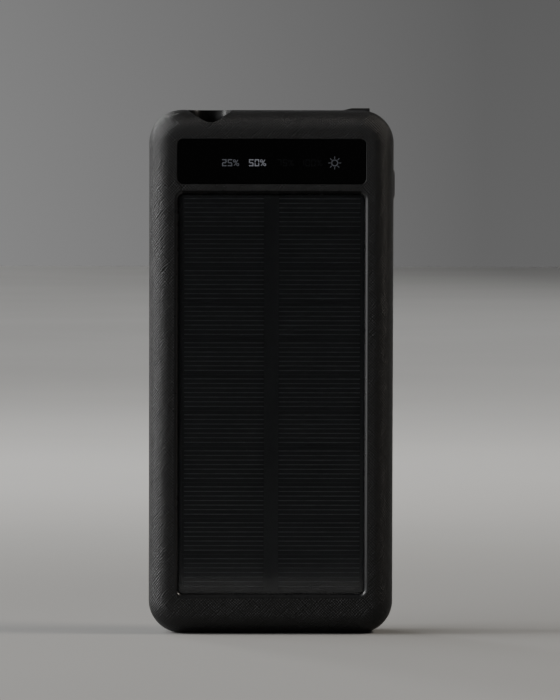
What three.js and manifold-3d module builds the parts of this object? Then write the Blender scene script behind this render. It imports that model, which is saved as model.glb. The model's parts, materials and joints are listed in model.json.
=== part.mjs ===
// A pocket solar charger: two moulded covers round a lithium cell, with a solar
// panel and a charge display in the front, a torch and two USB sockets under a
// rubber flap in the top, and a power button in the right side.
// Millimetres, +Z up. The display faces -Y, and +X is to the right seen from the
// front. The origin is the middle of the bottom face, which the charger stands on.
import * as THREE from 'three';
import { mergeVertices } from 'three/addons/utils/BufferGeometryUtils.js';
import loadManifold from 'manifold-3d';

// Driving dimensions of the casing.
const WIDTH = 70;
const HEIGHT = 150;
const FRONT = -10;
const BACK = 10;
const CORNER = 9.4;
const WALL = 2;
const FRONT_ROUND = { side: 5.8, deep: 6.5 };
const BACK_ROUND = { side: 4, deep: 4 };
const SEAM_FRONT = 4.5;
const SEAM_BACK = 4.8;
const SOLE_BACK = -5.2;
const INNER_BACK = BACK - WALL;
const ARC_STEPS = 5;
const ROUND_SIDES = 16;
const FIT = 0.15;

// The solar panel lies in a tray with sloping sides.
const TRAY = { width: 53.2, bottom: 11.4, top: 125.9, corner: 1.5, slope: 1.3, face: -8.8, floor: -6.4 };
const TAPE_THICK = 0.2;
const PANEL_BOARD_THICK = 1;
const CELL_THICK = 0.3;
const CELL = { rows: 11, pitch: 10.305, gap: 0.28, inner: 2.05, outer: 25.5, top: 125.75 };
const LEAD_SLOT = { half: 6, bottom: 116.4, top: 123 };

// The display window, its printed film and the light guide behind it.
const WINDOW = { width: 54, bottom: 128.8, top: 141.7, corner: 1.6, face: -9.9, back: -8.4 };
const SIGHT = { half: 25, bottom: 130.6, top: 139.9 };
const FILM_BACK = -8.2;
const GUIDE_BACK = -5.4;
const LED_PLACES = { led_25: -11.7, led_50: -4, led_75: 4, led_100: 11.3, led_sun: 18.3 };
const LED_HEIGHT = 135.2;

// The torch stands in a bore that breaks through the rounded top front edge.
const TORCH = { x: -17.3, y: -3.77, bore: 5.74, boss: 6.7, bottom: 143.4 };
const LENS = { radius: 5.1, bottom: 145.4, top: 146.2 };

// The flap lies in a slot in the top, over the two sockets.
const SLOT = { left: -10.5, right: 28.4, half: 3.6, floor: 148.8 };
const FLAP = { left: -7.6, right: 28.1, half: 3.3, lip: 150.63 };
const USB_A = { x: 14, y: 0, width: 13.1, deep: 5.7, bottom: 134.6 };
const USB_C = { x: -1, y: -1.2, width: 8.94, deep: 3.26, bottom: 141.2 };
const SOCKET_TOP = 148.6;
const SHELL_WALL = 0.3;

// The power button in the right side and the switch behind it.
const BUTTON = { bottom: 124.6, top: 133, half: 2, proud: 35.45, flange: 32.7, inner: 31.8 };
const SWITCH = { left: 27.6, right: 31, y: -1.45, plunger: 31.75 };

// The circuit board and the cell.
const BOARD = { front: -4.4, back: -3.2, bottom: 115.5, half: 30, shoulder: 137.5, neck: 23.8, top: 146.6 };
const BATTERY = { width: 63, front: -4.6, back: 6.6, bottom: 10.5, top: 111.5, corner: 3, roll: 1.4 };

// Four screws hold the covers together.
const SCREWS = [[-27.2, 7.4], [27.2, 7.4], [-27.2, 142.6], [27.2, 142.6]];
const SCREW = {
  boss: 2.8, shank: 0.95, pilot: 1.2, head: 2.05, sink: 2.35, headFront: 8.5, headBack: 9.6, tip: -2.5,
};

// A smooth shallow panel in the back, where the rating print goes.
const RATING = { width: 44, bottom: 22, top: 46, corner: 2, deep: 0.3 };

const wasm = await loadManifold();
wasm.setup();
const charger = new THREE.Group();

// A closed geometry as a solid that can be joined and cut.
function solid(geometry) {
  geometry.deleteAttribute('normal');
  geometry.deleteAttribute('uv');
  const merged = mergeVertices(geometry);
  return new wasm.Manifold(new wasm.Mesh({
    numProp: 3,
    vertProperties: merged.attributes.position.array,
    triVerts: Uint32Array.from(merged.index.array),
  }));
}

// A solid as a geometry again.
function geometryOf(body) {
  const mesh = body.getMesh();
  const geometry = new THREE.BufferGeometry();
  geometry.setAttribute('position', new THREE.BufferAttribute(mesh.vertProperties, 3));
  geometry.setIndex(new THREE.BufferAttribute(mesh.triVerts, 1));
  geometry.computeVertexNormals();
  return geometry;
}

function joined(first, ...others) {
  return others.reduce((whole, other) => whole.add(other), first);
}

function without(whole, ...tools) {
  return tools.reduce((left, tool) => left.subtract(tool), whole);
}

// Names a piece, gives it its own material and puts it in the charger.
function fit(name, geometry, color, roughness, metalness = 0) {
  const mesh = new THREE.Mesh(geometry, new THREE.MeshStandardMaterial({ color, roughness, metalness }));
  mesh.name = name;
  charger.add(mesh);
}

// A rounded rectangle seen from the front: across in X, up in Z.
function outline(width, bottom, top, radius, middle = 0) {
  const reach = width / 2 - radius;
  const shape = new THREE.Shape();
  shape.absarc(middle + reach, bottom + radius, radius, -Math.PI / 2, 0);
  shape.absarc(middle + reach, top - radius, radius, 0, Math.PI / 2);
  shape.absarc(middle - reach, top - radius, radius, Math.PI / 2, Math.PI);
  shape.absarc(middle - reach, bottom + radius, radius, Math.PI, Math.PI * 1.5);
  return shape;
}

// The casing's outline drawn in by the same distance all round.
function casingOutline(inset) {
  return outline(WIDTH - 2 * inset, inset, HEIGHT - inset, CORNER - inset);
}

// A flat piece with this outline between two depths.
function plate(shape, front, back) {
  const geometry = new THREE.ExtrudeGeometry(shape, {
    depth: back - front,
    bevelEnabled: false,
    curveSegments: ARC_STEPS,
  });
  return geometry.rotateX(Math.PI / 2).translate(0, back, 0);
}

// A plate whose edges round out from the shape at both faces.
function roundedPlate(shape, front, back, round, steps) {
  const geometry = new THREE.ExtrudeGeometry(shape, {
    depth: back - front - 2 * round.deep,
    bevelThickness: round.deep,
    bevelSize: round.side,
    bevelSegments: steps,
    curveSegments: ARC_STEPS,
  });
  return geometry.rotateX(Math.PI / 2).translate(0, back - round.deep, 0);
}

// An upright bar with this section, drawn in X and Y, between two heights.
function bar(shape, bottom, top) {
  const geometry = new THREE.ExtrudeGeometry(shape, {
    depth: top - bottom,
    bevelEnabled: false,
    curveSegments: 2,
  });
  return geometry.translate(0, 0, bottom);
}

// A rounded rectangle seen from above, round a middle point.
function section(width, deep, radius, x, y) {
  return outline(width, y - deep / 2, y + deep / 2, radius, x);
}

function block(left, right, front, back, bottom, top) {
  const geometry = new THREE.BoxGeometry(right - left, back - front, top - bottom);
  return geometry.translate((left + right) / 2, (front + back) / 2, (bottom + top) / 2);
}

function uprightPin(radius, x, y, bottom, top, sides = ROUND_SIDES) {
  const geometry = new THREE.CylinderGeometry(radius, radius, top - bottom, sides);
  return geometry.rotateX(Math.PI / 2).translate(x, y, (bottom + top) / 2);
}

function levelPin(radius, x, z, front, back) {
  const geometry = new THREE.CylinderGeometry(radius, radius, back - front, ROUND_SIDES);
  return geometry.translate(x, (front + back) / 2, z);
}

// An insulated wire along a smooth curve through the points.
function wire(points, radius) {
  const round = new THREE.Shape();
  for (let i = 0; i < 8; i += 1) {
    const angle = (i / 8) * Math.PI * 2;
    const [x, y] = [radius * Math.cos(angle), radius * Math.sin(angle)];
    if (i === 0) round.moveTo(x, y);
    else round.lineTo(x, y);
  }
  const curve = new THREE.CatmullRomCurve3(points.map(([x, y, z]) => new THREE.Vector3(x, y, z)));
  return new THREE.ExtrudeGeometry(round, { extrudePath: curve, steps: 8, bevelEnabled: false });
}

// The whole casing's front, rounded, down to the seam and a little past it.
function frontBlank() {
  const shape = casingOutline(FRONT_ROUND.side);
  return solid(roundedPlate(shape, FRONT, SEAM_FRONT + FRONT_ROUND.deep + 1, FRONT_ROUND, 7));
}

function trayRecess() {
  const mouth = outline(TRAY.width, TRAY.bottom, TRAY.top, TRAY.corner);
  const slope = { side: TRAY.slope, deep: TRAY.face - FRONT };
  const sloped = solid(roundedPlate(mouth, FRONT - 3, TRAY.face, slope, 1));
  const straight = solid(plate(mouth, TRAY.face - 0.5, TRAY.floor));
  return sloped.add(straight);
}

function windowRecess() {
  const pocket = outline(WINDOW.width, WINDOW.bottom, WINDOW.top, WINDOW.corner);
  const sight = block(-SIGHT.half, SIGHT.half, WINDOW.back - 1, 0, SIGHT.bottom, SIGHT.top);
  return solid(plate(pocket, FRONT - 1, WINDOW.back)).add(solid(sight));
}

function flapSlot() {
  const slot = block(SLOT.left, SLOT.right, -SLOT.half, SLOT.half, SLOT.floor, HEIGHT + 1);
  const mouthA = section(USB_A.width + 0.5, USB_A.deep + 0.5, 0.8, USB_A.x, USB_A.y);
  const mouthC = section(USB_C.width + 0.5, USB_C.deep + 0.5, 1.85, USB_C.x, USB_C.y);
  const through = [mouthA, mouthC].map((mouth) => solid(bar(mouth, SLOT.floor - 2, SLOT.floor + 0.5)));
  return joined(solid(slot), ...through);
}

function torchBore() {
  const wide = uprightPin(TORCH.bore, TORCH.x, TORCH.y, TORCH.bottom, HEIGHT + 1, 36);
  const narrow = uprightPin(4.4, TORCH.x, TORCH.y, TORCH.bottom - 1.2, TORCH.bottom + 0.5);
  return solid(wide).add(solid(narrow));
}

// The stadium-shaped hole for the button, through the right wall.
function buttonSection(grow) {
  const shape = new THREE.Shape();
  const radius = BUTTON.half + grow;
  shape.absarc(0, BUTTON.top - BUTTON.half, radius, 0, Math.PI);
  shape.absarc(0, BUTTON.bottom + BUTTON.half, radius, Math.PI, Math.PI * 2);
  return shape;
}

// The button's section turned so that it reaches across the wall, along X.
function acrossWall(shape, left, right) {
  const geometry = new THREE.ExtrudeGeometry(shape, {
    depth: right - left,
    bevelEnabled: false,
    curveSegments: 6,
  });
  return geometry.rotateX(Math.PI / 2).rotateZ(Math.PI / 2).translate(left, 0, 0);
}

function frontCover() {
  const tail = solid(block(-50, 50, SEAM_FRONT, 30, -10, HEIGHT + 10));
  const inside = solid(plate(casingOutline(WALL), SOLE_BACK, SEAM_FRONT + 1));
  let cover = without(frontBlank(), tail, inside);
  // Cored-out slots lighten the thick bezel at both sides and the bottom.
  const coring = [
    block(28.4, 31, -8, SOLE_BACK + 0.5, 14, 118),
    block(-31, -28.4, -8, SOLE_BACK + 0.5, 14, 118),
    block(-22, 22, -8, SOLE_BACK + 0.5, 4.6, 8.6),
  ];
  const bosses = SCREWS.map(([x, z]) => levelPin(SCREW.boss, x, z, SOLE_BACK - 0.5, SEAM_FRONT - 0.3));
  const rests = [[-28, 119], [28, 119], [-28, 135], [28, 135], [22, 142.4]];
  const posts = rests.map(([x, z]) => levelPin(1.4, x, z, SOLE_BACK - 0.5, BOARD.front - 0.05));
  const torchBoss = uprightPin(TORCH.boss, TORCH.x, TORCH.y, TORCH.bottom, HEIGHT - WALL + 0.5, 24);
  const added = joined(...[...bosses, ...posts].map(solid));
  cover = cover.add(added).add(solid(torchBoss).intersect(frontBlank()));
  const pilots = SCREWS.map(([x, z]) => levelPin(SCREW.pilot, x, z, SCREW.tip - 0.6, SEAM_FRONT + 1));
  const leadSlot = block(
    -LEAD_SLOT.half, LEAD_SLOT.half, TRAY.floor - 1, 0, LEAD_SLOT.bottom, LEAD_SLOT.top,
  );
  const groove = casingOutline(0.55);
  groove.holes.push(casingOutline(1.45));
  const cuts = [...coring, ...pilots, leadSlot, plate(groove, SEAM_FRONT - 0.6, SEAM_FRONT + 1)].map(solid);
  const buttonHole = solid(acrossWall(buttonSection(0.3), 30, 40));
  return without(cover, trayRecess(), windowRecess(), flapSlot(), torchBore(), buttonHole, ...cuts);
}

function rearCover() {
  const shape = casingOutline(BACK_ROUND.side);
  const blank = solid(roundedPlate(shape, SEAM_BACK - BACK_ROUND.deep - 1, BACK, BACK_ROUND, 6));
  const head = solid(block(-50, 50, -30, SEAM_BACK, -10, HEIGHT + 10));
  const inside = solid(plate(casingOutline(WALL), SEAM_BACK - 1, INNER_BACK));
  const bosses = SCREWS.map(([x, z]) => levelPin(SCREW.boss, x, z, SEAM_BACK, INNER_BACK + 0.5));
  const holes = SCREWS.map(([x, z]) => levelPin(SCREW.pilot, x, z, 0, BACK + 1));
  const sinks = SCREWS.map(([x, z]) => levelPin(SCREW.sink, x, z, SCREW.headFront - 0.1, BACK + 1));
  const rating = outline(RATING.width, RATING.bottom, RATING.top, RATING.corner);
  const ratingPanel = solid(plate(rating, BACK - RATING.deep, BACK + 1));
  const shell = joined(without(blank, head, inside), ...bosses.map(solid));
  return without(shell, ...holes.map(solid), ...sinks.map(solid), ratingPanel);
}

function coverScrew(x, z) {
  const head = solid(levelPin(SCREW.head, x, z, SCREW.headFront, SCREW.headBack));
  const shank = solid(levelPin(SCREW.shank, x, z, SCREW.tip, SCREW.headFront + 0.3));
  const slotDepth = SCREW.headBack - 0.7;
  const cross = [
    block(x - 1.2, x + 1.2, slotDepth, BACK, z - 0.25, z + 0.25),
    block(x - 0.25, x + 0.25, slotDepth, BACK, z - 1.2, z + 1.2),
  ];
  return without(head.add(shank), ...cross.map(solid));
}

function addCasing() {
  fit('front_cover', geometryOf(frontCover()), 0x17181a, 0.55);
  fit('rear_cover', geometryOf(rearCover()), 0x17181a, 0.55);
  const gasket = casingOutline(0.65);
  gasket.holes.push(casingOutline(1.35));
  fit('seal_gasket', plate(gasket, SEAM_FRONT - 0.5, SEAM_BACK - 0.05), 0x0a0a0a, 0.8);
  SCREWS.forEach(([x, z], i) => {
    fit(`cover_screw_${i + 1}`, geometryOf(coverScrew(x, z)), 0x2a2b2d, 0.35, 1);
  });
}

function addSolarPanel() {
  const tray = outline(TRAY.width - 2 * FIT, TRAY.bottom + FIT, TRAY.top - FIT, TRAY.corner - FIT);
  const leadGap = solid(block(-LEAD_SLOT.half, LEAD_SLOT.half, -9, 0, LEAD_SLOT.bottom, LEAD_SLOT.top));
  const boardBack = TRAY.floor - TAPE_THICK;
  const boardFront = boardBack - PANEL_BOARD_THICK;
  const cellFront = boardFront - CELL_THICK;
  const tape = solid(plate(tray, boardBack, TRAY.floor)).subtract(leadGap);
  fit('panel_tape', geometryOf(tape), 0x303030, 0.9);
  fit('solar_board', plate(tray, boardFront, boardBack), 0x0b0d10, 0.6);
  for (let row = 0; row < CELL.rows; row += 1) {
    const top = CELL.top - row * CELL.pitch;
    const bottom = top - CELL.pitch + CELL.gap;
    const number = String(row + 1).padStart(2, '0');
    const left = block(-CELL.outer, -CELL.inner, cellFront, boardFront, bottom, top);
    const right = block(CELL.inner, CELL.outer, cellFront, boardFront, bottom, top);
    fit(`solar_cell_l${number}`, left, 0x0c0d12, 0.35);
    fit(`solar_cell_r${number}`, right, 0x0c0d12, 0.35);
  }
  fit('solar_laminate', plate(tray, TRAY.face, cellFront), 0x101114, 0.3);
}

function addDisplay() {
  const pane = outline(WINDOW.width - 2 * FIT, WINDOW.bottom + FIT, WINDOW.top - FIT, WINDOW.corner - FIT);
  fit('display_window', plate(pane, WINDOW.face, WINDOW.back), 0x030303, 0.08);
  const [half, bottom, top] = [SIGHT.half - 0.2, SIGHT.bottom + 0.2, SIGHT.top - 0.2];
  fit('legend_film', block(-half, half, WINDOW.back, FILM_BACK, bottom, top), 0x050505, 0.6);
  fit('light_guide', block(-half, half, FILM_BACK, GUIDE_BACK, bottom, top), 0xd8d8d4, 0.4);
  for (const [name, x] of Object.entries(LED_PLACES)) {
    const chip = block(x - 1, x + 1, GUIDE_BACK + 0.2, BOARD.front, LED_HEIGHT - 0.6, LED_HEIGHT + 0.6);
    fit(name, chip, 0xe8e6d8, 0.4);
  }
}

// The reflector cup, its rim cut along the rounded edge of the cover.
function torchReflector() {
  const rim = TORCH.bore - FIT;
  const inner = rim - 0.45;
  const profile = [
    [3.6, TORCH.bottom + 0.1],
    [rim, LENS.bottom],
    [rim, HEIGHT + 1],
    [inner, HEIGHT + 1],
    [inner, LENS.bottom],
    [inner - 0.5, LENS.bottom],
    [3.9, 144.5],
    [2.4, TORCH.bottom + 0.1],
    [3.6, TORCH.bottom + 0.1],
  ];
  const cup = new THREE.LatheGeometry(profile.map(([r, z]) => new THREE.Vector2(r, z)), 36);
  cup.rotateX(Math.PI / 2).translate(TORCH.x, TORCH.y, 0);
  return solid(cup).intersect(frontBlank());
}

function addTorch() {
  fit('torch_reflector', geometryOf(torchReflector()), 0xc8cacc, 0.12, 1);
  const lens = uprightPin(LENS.radius, TORCH.x, TORCH.y, LENS.bottom + 0.05, LENS.top, 36);
  fit('torch_lens', lens, 0xeef2f4, 0.05);
  const boardTop = TORCH.bottom - 0.1;
  fit('torch_board', uprightPin(3.5, TORCH.x, TORCH.y, boardTop - 1, boardTop), 0x1d5c3a, 0.5);
  const die = block(TORCH.x - 1.4, TORCH.x + 1.4, TORCH.y - 1.4, TORCH.y + 1.4, boardTop, boardTop + 0.9);
  fit('torch_led', die, 0xf2e27a, 0.3);
}

// The board's outline steps in past the screw bosses and under the torch.
function boardOutline() {
  const torchLeft = TORCH.x - TORCH.boss - 0.4;
  const torchRight = TORCH.x + TORCH.boss + 0.4;
  const shoulders = [
    [-BOARD.half, BOARD.bottom], [BOARD.half, BOARD.bottom],
    [BOARD.half, BOARD.shoulder], [BOARD.neck, BOARD.shoulder],
    [BOARD.neck, BOARD.top], [torchRight, BOARD.top],
    [torchRight, TORCH.bottom - 2], [torchLeft, TORCH.bottom - 2],
    [torchLeft, BOARD.shoulder], [-BOARD.half, BOARD.shoulder],
  ];
  return new THREE.Shape(shoulders.map(([x, z]) => new THREE.Vector2(x, z)));
}

// A socket's drawn metal shell, open at the top.
function socketShell(socket, radius) {
  const outer = section(socket.width, socket.deep, radius, socket.x, socket.y);
  const inset = 2 * SHELL_WALL;
  const inner = section(socket.width - inset, socket.deep - inset, radius - SHELL_WALL, socket.x, socket.y);
  const hollow = solid(bar(inner, socket.bottom + SHELL_WALL, SOCKET_TOP + 1));
  return solid(bar(outer, socket.bottom, SOCKET_TOP)).subtract(hollow);
}

// A socket's moulded base with the tongue that carries the contacts.
function socketTongue(socket, base, tongue) {
  const floor = socket.bottom + SHELL_WALL + 0.1;
  const foot = section(base.width, base.deep, base.corner, socket.x, socket.y);
  const left = socket.x - tongue.width / 2;
  const y = socket.y + tongue.shift;
  const half = tongue.deep / 2;
  const blade = block(left, left + tongue.width, y - half, y + half, floor, tongue.top);
  return solid(bar(foot, floor, floor + base.height)).add(solid(blade));
}

function addBoard() {
  fit('main_board', plate(boardOutline(), BOARD.front, BOARD.back), 0x17583a, 0.5);
  const baseA = { width: 12.2, deep: 4.8, corner: 0.3, height: 3.4 };
  const baseC = { width: 8, deep: 2.3, corner: 1.1, height: 1.6 };
  fit('usb_a_shell', geometryOf(socketShell(USB_A, 0.6)), 0xc4c6c8, 0.25, 1);
  const tongueA = socketTongue(USB_A, baseA, { width: 11.1, deep: 1.84, shift: 0.9, top: 147.1 });
  fit('usb_a_tongue', geometryOf(tongueA), 0x1a1a1a, 0.5);
  fit('usb_c_shell', geometryOf(socketShell(USB_C, 1.6)), 0xc4c6c8, 0.25, 1);
  const tongueC = socketTongue(USB_C, baseC, { width: 6.69, deep: 0.7, shift: 0, top: 147.6 });
  fit('usb_c_tongue', geometryOf(tongueC), 0x1a1a1a, 0.5);
  fit('inductor', plate(outline(7, 120.5, 127.5, 0.8, -22), BOARD.back, BOARD.back + 4), 0x3a3a3c, 0.7);
  fit('controller_chip', block(-10.5, -5.5, BOARD.back, BOARD.back + 0.9, 124, 129), 0x111112, 0.6);
}

function addButton() {
  const middle = (BUTTON.bottom + BUTTON.top) / 2;
  const body = block(SWITCH.left, SWITCH.right, BOARD.back, BOARD.back + 3.5, middle - 3.2, middle + 3.2);
  const well = block(29.9, 32, SWITCH.y - 0.9, SWITCH.y + 0.9, middle - 1.6, middle + 1.6);
  fit('switch_body', geometryOf(solid(body).subtract(solid(well))), 0x202022, 0.5);
  const plunger = block(30.4, SWITCH.plunger, SWITCH.y - 0.7, SWITCH.y + 0.7, middle - 1.4, middle + 1.4);
  fit('switch_plunger', plunger, 0xb03a2e, 0.5);
  const stem = solid(acrossWall(buttonSection(0), BUTTON.inner, BUTTON.proud - 0.4));
  const crown = buttonSection(-0.45);
  const top = solid(acrossWall(crown, BUTTON.proud - 0.8, BUTTON.proud));
  const flange = solid(acrossWall(buttonSection(0.9), BUTTON.inner, BUTTON.flange));
  fit('button_cap', geometryOf(joined(stem, top, flange)), 0x141516, 0.6);
}

// The flap: a flat strip, a raised pull lip at its free end, and a plug for each socket.
function portFlap() {
  const ramp = 2.6;
  const side = new THREE.Shape([
    [FLAP.left, SLOT.floor + 0.05], [FLAP.right, SLOT.floor + 0.05], [FLAP.right, FLAP.lip],
    [FLAP.right - 5.1, FLAP.lip], [FLAP.right - 5.1 - ramp, HEIGHT], [FLAP.left, HEIGHT],
  ].map(([x, z]) => new THREE.Vector2(x, z)));
  const strip = solid(plate(side, -FLAP.half, FLAP.half));
  const plugA = solid(bar(section(11.4, 4.2, 0.5, USB_A.x, USB_A.y), 147.5, SLOT.floor + 0.5));
  const plugC = solid(bar(section(7, 1.6, 0.7, USB_C.x, USB_C.y), 148.1, SLOT.floor + 0.5));
  return joined(strip, plugA, plugC);
}

function addBattery() {
  const roll = { side: BATTERY.roll, deep: BATTERY.roll };
  const shape = outline(
    BATTERY.width - 2 * roll.side,
    BATTERY.bottom + roll.side,
    BATTERY.top - roll.side,
    BATTERY.corner - roll.side,
  );
  fit('battery', roundedPlate(shape, BATTERY.front, BATTERY.back, roll, 3), 0xb9bcc0, 0.4, 0.6);
}

function addLeads() {
  const pads = { battery_lead_red: [7, 0xb02020], battery_lead_black: [-7, 0x151515] };
  for (const [name, [x, color]] of Object.entries(pads)) {
    const route = [[x, 2, 112], [x, 2, 114], [x, 0.6, 117], [x, -1, 118.6], [x, -2.4, 119.4]];
    fit(name, wire(route, 0.7), color, 0.5);
  }
  const taps = { panel_lead_red: [2, 0xb02020], panel_lead_black: [-2, 0x151515] };
  for (const [name, [x, color]] of Object.entries(taps)) {
    const route = [
      [x, -6.5, 121.8], [x, -5.9, 121.6], [x, -5.35, 120.2], [x, -5.0, 118.8], [x, -4.6, 118.2],
    ];
    fit(name, wire(route, 0.4), color, 0.5);
  }
}

addCasing();
addSolarPanel();
addDisplay();
addTorch();
addBoard();
addButton();
addBattery();
addLeads();
fit('port_flap', geometryOf(portFlap()), 0x0e0e0f, 0.7);

export default charger;
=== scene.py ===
import bpy
import bmesh
import json
import math
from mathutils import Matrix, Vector


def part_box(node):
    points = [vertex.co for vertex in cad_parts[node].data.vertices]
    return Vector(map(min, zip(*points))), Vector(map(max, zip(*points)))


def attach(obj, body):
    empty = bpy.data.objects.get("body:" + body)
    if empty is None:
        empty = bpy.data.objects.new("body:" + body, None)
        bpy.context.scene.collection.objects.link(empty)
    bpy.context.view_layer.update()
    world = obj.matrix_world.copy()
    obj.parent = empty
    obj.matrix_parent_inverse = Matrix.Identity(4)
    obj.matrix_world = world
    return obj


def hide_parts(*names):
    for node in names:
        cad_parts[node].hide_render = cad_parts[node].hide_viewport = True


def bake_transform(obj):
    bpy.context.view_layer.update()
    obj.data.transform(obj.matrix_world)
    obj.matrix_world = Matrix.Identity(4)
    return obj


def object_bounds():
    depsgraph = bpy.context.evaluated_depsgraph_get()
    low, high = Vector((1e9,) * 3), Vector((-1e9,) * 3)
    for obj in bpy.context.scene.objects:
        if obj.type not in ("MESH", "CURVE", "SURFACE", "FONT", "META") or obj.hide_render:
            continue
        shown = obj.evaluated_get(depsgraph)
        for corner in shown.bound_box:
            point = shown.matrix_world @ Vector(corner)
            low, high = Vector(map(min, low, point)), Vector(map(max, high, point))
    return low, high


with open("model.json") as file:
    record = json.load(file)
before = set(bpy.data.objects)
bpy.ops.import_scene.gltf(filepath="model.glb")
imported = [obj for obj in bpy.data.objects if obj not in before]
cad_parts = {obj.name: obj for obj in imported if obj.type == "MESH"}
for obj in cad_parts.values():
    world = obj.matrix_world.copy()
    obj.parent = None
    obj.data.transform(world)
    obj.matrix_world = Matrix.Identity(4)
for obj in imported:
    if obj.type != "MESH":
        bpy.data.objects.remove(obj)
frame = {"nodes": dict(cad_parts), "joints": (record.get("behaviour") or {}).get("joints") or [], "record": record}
cad_low, cad_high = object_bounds()
MM = 0.001

# --------------------------------------------------
# Front cover: the deep half of the casing, injection moulded in black ABS.
# Its edges roll over in a quarter ellipse, and the mould is etched with a fine
# leather-like cross-hatch that wraps round from the face to the seam.
# --------------------------------------------------
front_low, front_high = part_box("front_cover")
rear_low, rear_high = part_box("rear_cover")
CORNER = 9.4 * MM
WALL = 2 * MM
FRONT_ROLL = (5.8 * MM, 6.5 * MM)
GRAIN_PITCH = 0.6
GRAIN_DEPTH = 0.42


def select_only(*pieces):
    """Leaves only these pieces selected, with the first one active."""
    bpy.ops.object.select_all(action="DESELECT")
    for piece in pieces:
        piece.select_set(True)
        bpy.context.view_layer.objects.active = pieces[0]


def settle(name):
    """Names the new primitive, and makes its size and place its mesh's own."""
    bpy.ops.object.transform_apply(location=True, rotation=True, scale=True)
    piece = bpy.context.object
    piece.name = piece.data.name = name
    return piece


def start_block(name, low, high):
    """A cube at this size and place, alone in the selection."""
    select_only()
    middle = (Vector(low) + Vector(high)) / 2
    size = Vector(high) - Vector(low)
    bpy.ops.mesh.primitive_cube_add(size=1, location=middle, scale=size)
    return settle(name)


def start_drum(name, radius, low, high, sides=32, tilt=(0, 0, 0)):
    """A round bar from one end's middle to the other's, alone in the selection."""
    select_only()
    middle = (Vector(low) + Vector(high)) / 2
    depth = (Vector(high) - Vector(low)).length
    bpy.ops.mesh.primitive_cylinder_add(vertices=sides, radius=radius, depth=depth,
                                        location=middle, rotation=tilt)
    return settle(name)


def start_pin(name, radius, place, near, far, sides=32):
    """A round bar that runs from front to back at this place's x and z."""
    return start_drum(name, radius, (place.x, near, place.z), (place.x, far, place.z),
                      sides, (math.pi / 2, 0, 0))


def pick(piece, kind, test):
    """Selects in edit mode the faces or edges that pass the test, and nothing else."""
    bpy.context.view_layer.objects.active = piece
    if piece.mode != "EDIT":
        bpy.ops.object.mode_set(mode="EDIT")
    bpy.ops.mesh.select_mode(type=kind)
    bpy.ops.mesh.select_all(action="DESELECT")
    cage = bmesh.from_edit_mesh(piece.data)
    for part in {"VERT": cage.verts, "EDGE": cage.edges, "FACE": cage.faces}[kind]:
        part.select_set(test(part))
    bmesh.update_edit_mesh(piece.data)


def put_down():
    bpy.ops.mesh.select_all(action="DESELECT")
    bpy.ops.object.mode_set(mode="OBJECT")


def round_corners(piece, along, radius, segments):
    """Rounds the block's four edges that run along this axis."""
    def runs_along(edge):
        reach = edge.verts[1].co - edge.verts[0].co
        return abs(reach[along]) > 0.99 * reach.length
    pick(piece, "EDGE", runs_along)
    bpy.ops.mesh.bevel(offset=radius, segments=segments, affect="EDGES", clamp_overlap=False)


def step_in(piece, facing, steps):
    """Insets the end face that looks this way once for each (inwards, outwards) step."""
    way = Vector(facing)
    far = max(v.co.dot(way) for v in bmesh.from_edit_mesh(piece.data).verts)
    pick(piece, "FACE", lambda f: f.normal.dot(way) > 0.99 and f.calc_center_median().dot(way) > far - 1e-6)
    for inwards, outwards in steps:
        bpy.ops.mesh.inset(thickness=inwards, depth=outwards, use_even_offset=True)


def quarter_steps(side, deep, count):
    """The steps of a quarter ellipse that rolls over from a wall to a face."""
    turns = [i / count * math.pi / 2 for i in range(count + 1)]
    steps = []
    for a, b in zip(turns, turns[1:]):
        steps.append((side * (math.cos(a) - math.cos(b)), deep * (math.sin(b) - math.sin(a))))
    return steps


def rolled_shell(name, low, high, facing, roll, inset=0.0, steps=14, segments=16):
    """A rounded block whose end face, towards -Y or +Y, rolls over at its edge."""
    near, far = low[1], high[1]
    if facing < 0:
        near += roll[1]
    else:
        far -= roll[1]
    piece = start_block(name, (low[0] + inset, near, low[2] + inset),
                        (high[0] - inset, far, high[2] - inset))
    round_corners(piece, 1, CORNER - inset, segments)
    step_in(piece, (0, facing, 0), quarter_steps(*roll, steps))
    put_down()
    return piece


def change_shape(piece, kind, **settings):
    """Gives the piece a modifier with these settings, and applies it."""
    change = piece.modifiers.new(kind.lower(), kind)
    for name, value in settings.items():
        setattr(change, name, value)
    bpy.context.view_layer.objects.active = piece
    bpy.ops.object.modifier_apply(modifier=change.name)


def use_tool(piece, tool, operation="DIFFERENCE", keep=False):
    """Cuts the piece with the tool, or joins or trims it, and throws the tool away."""
    change_shape(piece, "BOOLEAN", operation=operation, object=tool, solver="EXACT")
    if not keep:
        bpy.data.objects.remove(tool)


def rounded_block(name, low, high, radius, along=1, segments=8):
    piece = start_block(name, low, high)
    round_corners(piece, along, radius, segments)
    put_down()
    return piece


def smooth(piece, angle=28):
    """Smooth shading everywhere but over real edges."""
    select_only(piece)
    bpy.ops.object.shade_smooth_by_angle(angle=math.radians(angle))
    change_shape(piece, "WEIGHTED_NORMAL", keep_sharp=True)


def soften_edges(piece, width, segments=3, angle=40):
    """A small round on every sharp edge, as a mould or a tool leaves it."""
    change_shape(piece, "BEVEL", width=width, segments=segments, limit_method="ANGLE",
                 angle_limit=math.radians(angle), use_clamp_overlap=True)


def core_point(x, z):
    """The nearest point, across and up, of the middle that the casing's corners turn about."""
    return Vector((min(max(x, front_low.x + CORNER), front_high.x - CORNER),
                   min(max(z, front_low.z + CORNER), front_high.z - CORNER)))


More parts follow.
